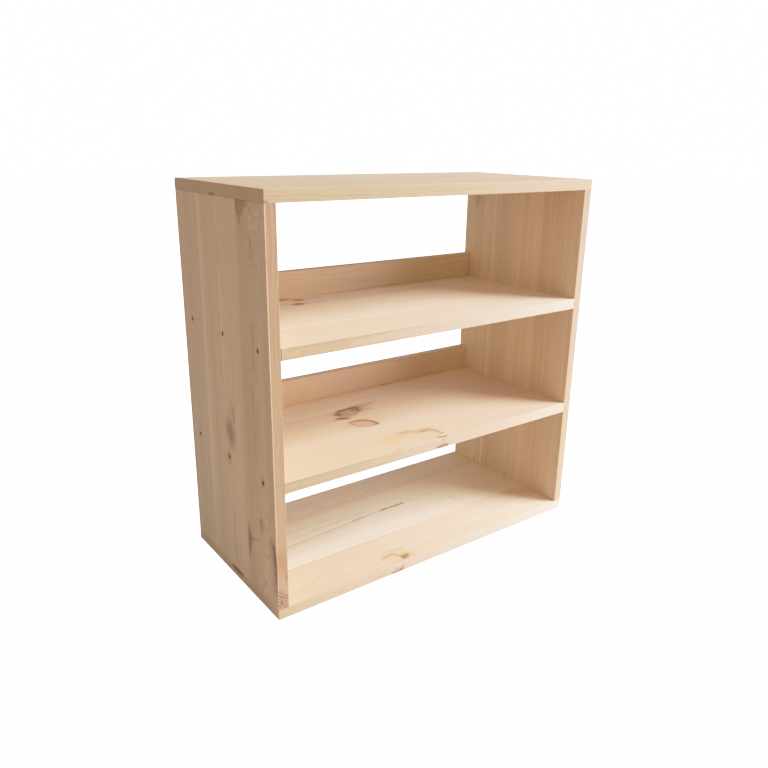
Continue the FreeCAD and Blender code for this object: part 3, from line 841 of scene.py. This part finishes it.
    fibre = grain(0.028, 1.35, 1.35, 37.0, 3.0, 0.55)
    hair = grain(0.11, 4.6, 4.6, 53.0, 2.0, 0.6)
    stripe = grain(0.0016, 0.17, 0.17, 101.0, 2.0, 0.6)
    broad = grain(0.0022, 0.040, 0.030, 67.0, 2.0, 0.5)
    patch = grain(0.0075, 0.022, 0.022, 79.0, 2.0, 0.55)
    hue = grain(0.010, 0.030, 0.030, 113.0, 2.0, 0.5)

    early = tuple(c * t for c, t in zip(EARLY, tint))
    dark = tuple(c * t for c, t in zip(LATE, tint))
    col = k.mix(k.mul(late, contrast), early, dark)
    # sapwood and heartwood: wide stripes along the grain, warmer, pinker and paler patches
    wide, narrow, patchy = FIGURE.get(s["board"], (0.36, 0.16, 1.0))
    col = k.mix(k.fit(broad, 0.44, 0.64, 0.0, wide), col, tuple(c * f for c, f in zip(early, (0.94, 0.87, 0.79))))
    col = k.mix(k.fit(patch, 0.50, 0.80, 0.0, 0.34 * patchy), col, tuple(c * f for c, f in zip(early, (1.00, 0.93, 0.88))))
    col = k.mix(k.fit(patch, 0.46, 0.22, 0.0, 0.30 * patchy), col, tuple(c * f for c, f in zip(early, (1.02, 1.05, 1.08))))
    col = k.mix(k.fit(hue, 0.52, 0.74, 0.0, 0.60 * patchy), col, tuple(c * f for c, f in zip(early, (1.01, 0.95, 0.96))))
    col = k.mix(k.fit(hue, 0.48, 0.26, 0.0, 0.55 * patchy), col, tuple(c * f for c, f in zip(early, (0.98, 1.00, 0.90))))
    tone = k.add(1.0, k.mul(k.sub(fibre, 0.5), 0.15), k.mul(k.sub(hair, 0.5), 0.10), k.mul(k.sub(stripe, 0.5), narrow))

    # resin ducts: short fine dashes along the grain
    duct = grain(0.040, 1.9, 1.9, 91.0, 1.0, 0.5)
    duct = k.mul(k.fit(duct, 0.66, 0.76), k.fit(late, 0.05, 0.5, 0.35, 1.0))
    tone = k.sub(tone, k.mul(duct, 0.10))

    for v_first, v_last, half, amount in BANDS.get(name, []):
        slope = (v_last - v_first) / (s["u"][1] - s["u"][0])
        line = k.m("MULTIPLY_ADD", k.sub(U, s["u"][0]), slope, v_first)
        off = k.m("ABSOLUTE", k.add(k.sub(V, line), k.mul(k.sub(slow, 0.5), 4.0)))
        tone = k.add(tone, k.mul(k.fit(off, half * 0.35, half, 1.0, 0.0), amount))
    col = k.gain(col, tone)

    # tints by face and along the stave: weathering of the outside, the saw on the front edges, and painted light and
    # shade
    att = k.node("ShaderNodeAttribute", attribute_name="arris", attribute_type="GEOMETRY")

    def along_stave(stops):
        """Tints spread evenly from the first end of the stave to its last."""
        shade, step = stops[0], (s["u"][1] - s["u"][0]) / max(len(stops) - 1, 1)
        for i, stop in enumerate(stops[1:]):
            start = s["u"][0] + i * step
            shade = k.mix(k.fit(U, start, start + step, kind="LINEAR"), shade, stop)
        return shade

    for axis, sign, *stops in FACE_TINTS_AND_PAINTED_LIGHT.get(name, []):
        n = nsep.outputs[axis] if sign > 0 else k.mul(nsep.outputs[axis], -1.0)
        if s["kind"] == "upright":
            mask = k.mul(k.fit(n, 0.70, 0.97), k.sub(1.0, k.mul(att.outputs["Fac"], 0.85)))
        else:
            mask = k.fit(n, 0.05, 0.85)
        col = k.mix(mask, col, along_stave(stops), "MULTIPLY")

    # painted highlight: a lighter strip along the corner of the front edge
    if name in HIGHLIGHT_CORNERS:
        face, reach, shade = HIGHLIGHT_CORNERS[name]
        front = k.fit(nsep.outputs[1], -0.45, -0.75, 0.0, 1.0)
        strip = k.fit(k.m("ABSOLUTE", k.sub(W, wface[face])), reach * 0.55, reach, 1.0, 0.0)
        col = k.mix(k.mul(strip, front), col, shade)

    bump_cut = None
    for q, d, halo_d, side in knots:
        mid, outer, rim, halo, rim_s = LOOKS[q["look"]]
        here = near(q["face"], q["deep"]) if q["face"] else None
        weigh = (lambda x: k.mul(x, here)) if here is not None else (lambda x: x)
        st, soft = q["s"], q["soft"]
        col = k.mix(weigh(k.fit(halo_d, 0.35, 1.05, 0.50 * st, 0.0)), col, halo)
        rings = k.m("SINE", k.add(k.mul(d, 15.0), k.mul(wavy, 7.0)))
        body = k.mix(k.fit(d, 0.1, 0.95), mid, outer)
        shade = k.add(1.0, k.mul(rings, 0.07), k.mul(k.sub(fine, 0.5), 0.35))
        if side is not None:
            shade = k.mul(shade, k.fit(side, -0.9, 0.9, 1.12, 0.80))
        body = k.gain(body, shade)
        col = k.mix(weigh(k.fit(d, 1.0 - soft, 1.0 + 0.5 * soft, st, 0.0)), col, body)
        edge = k.mul(k.fit(d, 0.62, 0.90), k.fit(d, 1.00, 1.12 + 0.45 * soft, 1.0, 0.0))
        edge = k.mul(edge, k.fit(wavy, 0.34, 0.56, 0.55, 1.0))
        if side is not None:
            edge = k.mul(edge, k.fit(side, -0.8, 0.7, 0.35, 1.0))
        edge = weigh(k.mul(edge, rim_s * st))
        col = k.mix(edge, col, rim)
        bump_cut = edge if bump_cut is None else k.add(bump_cut, edge)

    def line_at(points, P, Q):
        """Distance from a line of points in the plane of two coordinates."""
        best = None
        for (pu, pq), (qu, qq) in zip(points, points[1:]):
            lu, lv = qu - pu, qq - pq
            n2 = lu * lu + lv * lv
            du, dv = k.sub(P, pu), k.sub(Q, pq)
            t = k.m("ADD", k.mul(du, lu / n2), k.mul(dv, lv / n2), clamp=True)
            ex, ey = k.sub(du, k.mul(t, lu)), k.sub(dv, k.mul(t, lv))
            dist = k.m("SQRT", k.add(k.mul(ex, ex), k.mul(ey, ey)))
            best = dist if best is None else k.m("MINIMUM", best, dist)
        return best

    for points, half, strength, shade, face in STREAKS.get(name, []):
        best = line_at(points, U, V)
        best = k.add(best, k.mul(k.sub(fine, 0.5), 1.6 * half), k.mul(k.sub(wavy, 0.5), 1.4))
        facing = nsep.outputs[2] if s["kind"] == "flat" else nsep.outputs[0]
        on_face = k.fit(facing, 0.25, 0.80) if face == "w1" else k.fit(facing, -0.25, -0.80)
        mask = k.mul(k.fit(best, 0.25 * half, half * 1.75, strength, 0.0), k.fit(fibre, 0.25, 0.55, 0.65, 1.0), near(face, 10.0), on_face)
        col = k.mix(mask, col, STREAK_COLOURS[shade])

    # painted shade: a dark line in the joint under the rail
    for points, half, strength, shade in BACK_JOINT_SHADE.get(name, []):
        best = k.add(line_at(points, U, W), k.mul(k.sub(fine, 0.5), 1.2 * half))
        behind = k.fit(nsep.outputs[1], 0.3, 0.7)
        col = k.mix(k.mul(k.fit(best, 0.25 * half, half * 1.75, strength, 0.0), behind), col, STREAK_COLOURS[shade])

    if name in EDGE_MARKS or name in EDGE_CURLS:
        front = k.fit(nsep.outputs[1], -0.5, -0.9, 0.0, 1.0)
        for points, half, strength, shade in EDGE_MARKS.get(name, []):
            best = k.add(line_at(points, U, W), k.mul(k.sub(fine, 0.5), 1.6 * half))
            col = k.mix(k.mul(k.fit(best, 0.25 * half, half * 1.75, strength, 0.0), front), col, STREAK_COLOURS[shade])
        if name in EDGE_CURLS:
            cu, cw, gap, reach, strength = EDGE_CURLS[name]
            du, dw = k.sub(U, cu), k.sub(W, cw)
            dist = k.m("SQRT", k.add(k.mul(du, du), k.mul(k.mul(dw, dw), 4.2)))
            swirl = k.noise(k.vec(k.mul(U, 0.13), k.mul(V, 0.13), k.mul(W, 0.13)), 2.0, 0.5)
            dist = k.add(dist, k.mul(k.sub(swirl, 0.5), 9.0), k.mul(k.sub(fine, 0.5), 2.0))
            wave = k.m("FRACT", k.mul(dist, 1.0 / gap))
            wave = k.mul(k.fit(wave, 0.22, 0.55), k.sub(1.0, k.fit(wave, 0.72, 1.0)))
            curl = k.mul(wave, k.fit(dist, reach * 0.80, reach, strength, 0.0), front, k.fit(swirl, 0.36, 0.60, 0.55, 1.0))
            col = k.mix(k.mul(k.fit(dist, reach * 0.8, reach * 1.15, 0.52, 0.0), front), col, (0.59, 0.350, 0.245))
            col = k.mix(curl, col, (0.13, 0.058, 0.034))

    # end grain drinks light: darker, with pores
    along = k.m("ABSOLUTE", nsep.outputs[0] if s["kind"] == "flat" else nsep.outputs[2])
    endf = k.fit(along, 0.55, 0.9)
    pores = k.noise(k.vec(k.mul(U, 0.2), k.mul(V, 2.6), k.mul(W, 2.6)), 3.0, 0.6)
    share, stain = ENDS.get(s["board"], (0.42, (0.86, 0.82, 0.78)))
    end_col = k.gain(k.mix(share, col, dark), k.add(1.0, k.mul(k.sub(pores, 0.5), 0.45)))
    end_col = k.mix(1.0, end_col, stain, "MULTIPLY")
    col = k.mix(endf, col, end_col)

    # sanded arrises are a little cleaner than the faces; the stronger lightening on the uprights is also a painted
    # highlight, in the corner's highlight colour where there is one
    clean_and_highlight = 0.65 if s["kind"] == "upright" else 0.15
    fresh_or_highlight = HIGHLIGHT_CORNERS[name][2] if name in HIGHLIGHT_CORNERS else tuple(min(0.95, c * 1.06) for c in early)
    col = k.mix(k.mul(att.outputs["Fac"], clean_and_highlight), col, fresh_or_highlight)

    rough = k.add(0.60, k.mul(late, -0.10), k.mul(k.sub(fibre, 0.5), 0.16), k.mul(endf, 0.10))
    height = k.add(k.mul(late, 0.45), k.mul(fibre, 0.75), k.mul(hair, 0.35), k.mul(duct, -0.5))
    if bump_cut is not None:
        height = k.sub(height, k.mul(bump_cut, 0.9))
    height = k.add(height, k.mul(k.mul(pores, endf), 0.8))
    bump = k.node("ShaderNodeBump")
    bump.inputs["Strength"].default_value = 0.45
    bump.inputs["Distance"].default_value = 0.00016
    k.put(bump.inputs["Height"], height)

    bsdf = k.node("ShaderNodeBsdfPrincipled")
    k.put(bsdf.inputs["Base Color"], col)
    k.put(bsdf.inputs["Roughness"], rough)
    k.put(bsdf.inputs["Normal"], bump.outputs[0])
    bsdf.inputs["Specular IOR Level"].default_value = 0.35
    out = k.node("ShaderNodeOutputMaterial")
    k.put(out.inputs["Surface"], bsdf.outputs[0])
    return k.mat


def screw_steel():
    """Brown coat, worn in places, with a dusting of wood in it."""
    k = Tree("screw_steel")
    coord = k.node("ShaderNodeTexCoord").outputs["Object"]
    big = k.node("ShaderNodeVectorMath", operation="SCALE")
    k.put(big.inputs[0], coord)
    big.inputs[3].default_value = 1000.0
    grit = k.noise(big.outputs[0], 4.0, 0.6)
    sub = k.node("ShaderNodeVectorMath", operation="SCALE")
    k.put(sub.inputs[0], big.outputs[0])
    sub.inputs[3].default_value = 0.45
    cloud = k.noise(sub.outputs[0], 3.0, 0.55)
    col = k.mix(k.fit(grit, 0.35, 0.7), (0.20, 0.105, 0.048), (0.30, 0.158, 0.074))
    col = k.mix(k.fit(cloud, 0.46, 0.70, 0.0, 0.60), col, (0.42, 0.236, 0.115))
    rough = k.add(0.52, k.mul(k.sub(grit, 0.5), 0.3))
    bump = k.node("ShaderNodeBump")
    bump.inputs["Strength"].default_value = 0.3
    bump.inputs["Distance"].default_value = 0.00008
    k.put(bump.inputs["Height"], grit)
    bsdf = k.node("ShaderNodeBsdfPrincipled")
    k.put(bsdf.inputs["Base Color"], col)
    k.put(bsdf.inputs["Roughness"], rough)
    k.put(bsdf.inputs["Normal"], bump.outputs[0])
    bsdf.inputs["Metallic"].default_value = 0.35
    out = k.node("ShaderNodeOutputMaterial")
    k.put(out.inputs["Surface"], bsdf.outputs[0])
    return k.mat


for s in stave_specs():
    obj = build_stave(s)
    obj.data.materials.append(pine(s))
    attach(obj, "root")
    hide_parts(s["node"])

steel = screw_steel()
for name, node in nodes.items():
    if name.endswith("_screws"):
        for slot in node.material_slots:
            slot.material = steel

# ---------------------------------------------------------------------------------------
# floor, light, camera
# ---------------------------------------------------------------------------------------
mesh = bpy.data.meshes.new("floor")
bm = bmesh.new()
bmesh.ops.create_circle(bm, cap_ends=True, radius=14.0, segments=96)
bm.to_mesh(mesh)
bm.free()
floor = bpy.data.objects.new("floor", mesh)
floor.location.z = -0.0002
bpy.context.scene.collection.objects.link(floor)
k = Tree("floor_paper")
light_path = k.node("ShaderNodeLightPath")
dif = k.node("ShaderNodeBsdfDiffuse")
dif.inputs["Color"].default_value = (0.46, 0.455, 0.45, 1.0)
glow = k.node("ShaderNodeEmission")
k.put(glow.inputs["Strength"], k.mul(light_path.outputs["Is Camera Ray"], 3.4))
both = k.node("ShaderNodeAddShader")
k.put(both.inputs[0], dif.outputs[0])
k.put(both.inputs[1], glow.outputs[0])
out = k.node("ShaderNodeOutputMaterial")
k.put(out.inputs["Surface"], both.outputs[0])
mesh.materials.append(k.mat)

world = bpy.data.worlds.new("studio")
bpy.context.scene.world = world
world.use_nodes = True
wt = world.node_tree
wt.nodes.clear()
sky = wt.nodes.new("ShaderNodeBackground")
sky.inputs["Color"].default_value = (1.0, 1.0, 1.0, 1.0)
sky.inputs["Strength"].default_value = 0.51
paper = wt.nodes.new("ShaderNodeBackground")
paper.inputs["Color"].default_value = (1.0, 1.0, 1.0, 1.0)
paper.inputs["Strength"].default_value = 3.2
lp = wt.nodes.new("ShaderNodeLightPath")
sw = wt.nodes.new("ShaderNodeMixShader")
wo = wt.nodes.new("ShaderNodeOutputWorld")
wt.links.new(lp.outputs["Is Camera Ray"], sw.inputs[0])
wt.links.new(sky.outputs[0], sw.inputs[1])
wt.links.new(paper.outputs[0], sw.inputs[2])
wt.links.new(sw.outputs[0], wo.inputs["Surface"])


def lamp(name, where, aim, size, power, colour=(1.0, 1.0, 1.0)):
    data = bpy.data.lights.new(name, "AREA")
    data.shape = "ELLIPSE"
    data.size, data.size_y = size
    data.energy = power
    data.color = colour
    o = bpy.data.objects.new(name, data)
    o.location = where
    o.rotation_euler = (Vector(aim) - Vector(where)).to_track_quat("-Z", "Y").to_euler()
    o.visible_camera = False
    bpy.context.scene.collection.objects.link(o)
    return o


lamp("key", (4.128, -3.160, 3.923), (0.0, 0.0, 0.33), (3.45, 2.60), 665.0)
lamp("low", (1.00, -0.85, 0.36), (0.0, 0.0, 0.25), (0.8, 0.6), 8.0)

cam = bpy.data.objects.new("camera", bpy.data.cameras.new("camera"))
cam.data.sensor_fit = "HORIZONTAL"
cam.data.sensor_width = 36.0
cam.data.lens = 34.1415
ahead = Vector((0.56370336, 0.76158325, -0.31973344)).normalized()
right = Vector((0.80658896, -0.59093529, 0.01448234))
right = (right - ahead * right.dot(ahead)).normalized()
up = right.cross(ahead)
rot = Matrix((right, up, -ahead)).transposed()
cam.matrix_world = Matrix.Translation(Vector((-0.754526, -0.997817, 0.702402))) @ rot.to_4x4()
bpy.context.scene.collection.objects.link(cam)
bpy.context.scene.camera = cam

view = bpy.context.scene.view_settings
view.view_transform = "Standard"
view.look = "None"
view.use_curve_mapping = True
cm = view.curve_mapping
cm.use_clip = False
cm.white_level = (3.0, 3.0, 3.0)
curve = cm.curves[3]
shoulder = [(0.0, 0.0), (0.40 / 3, 0.40), (0.55 / 3, 0.535), (0.80 / 3, 0.68), (1.2 / 3, 0.845), (1.6 / 3, 0.925), (2.2 / 3, 0.985), (1.0, 1.0)]
while len(curve.points) < len(shoulder):
    curve.points.new(0.5, 0.5)
for p, (x, y) in zip(curve.points, shoulder):
    p.location = (x, y)
cm.update()
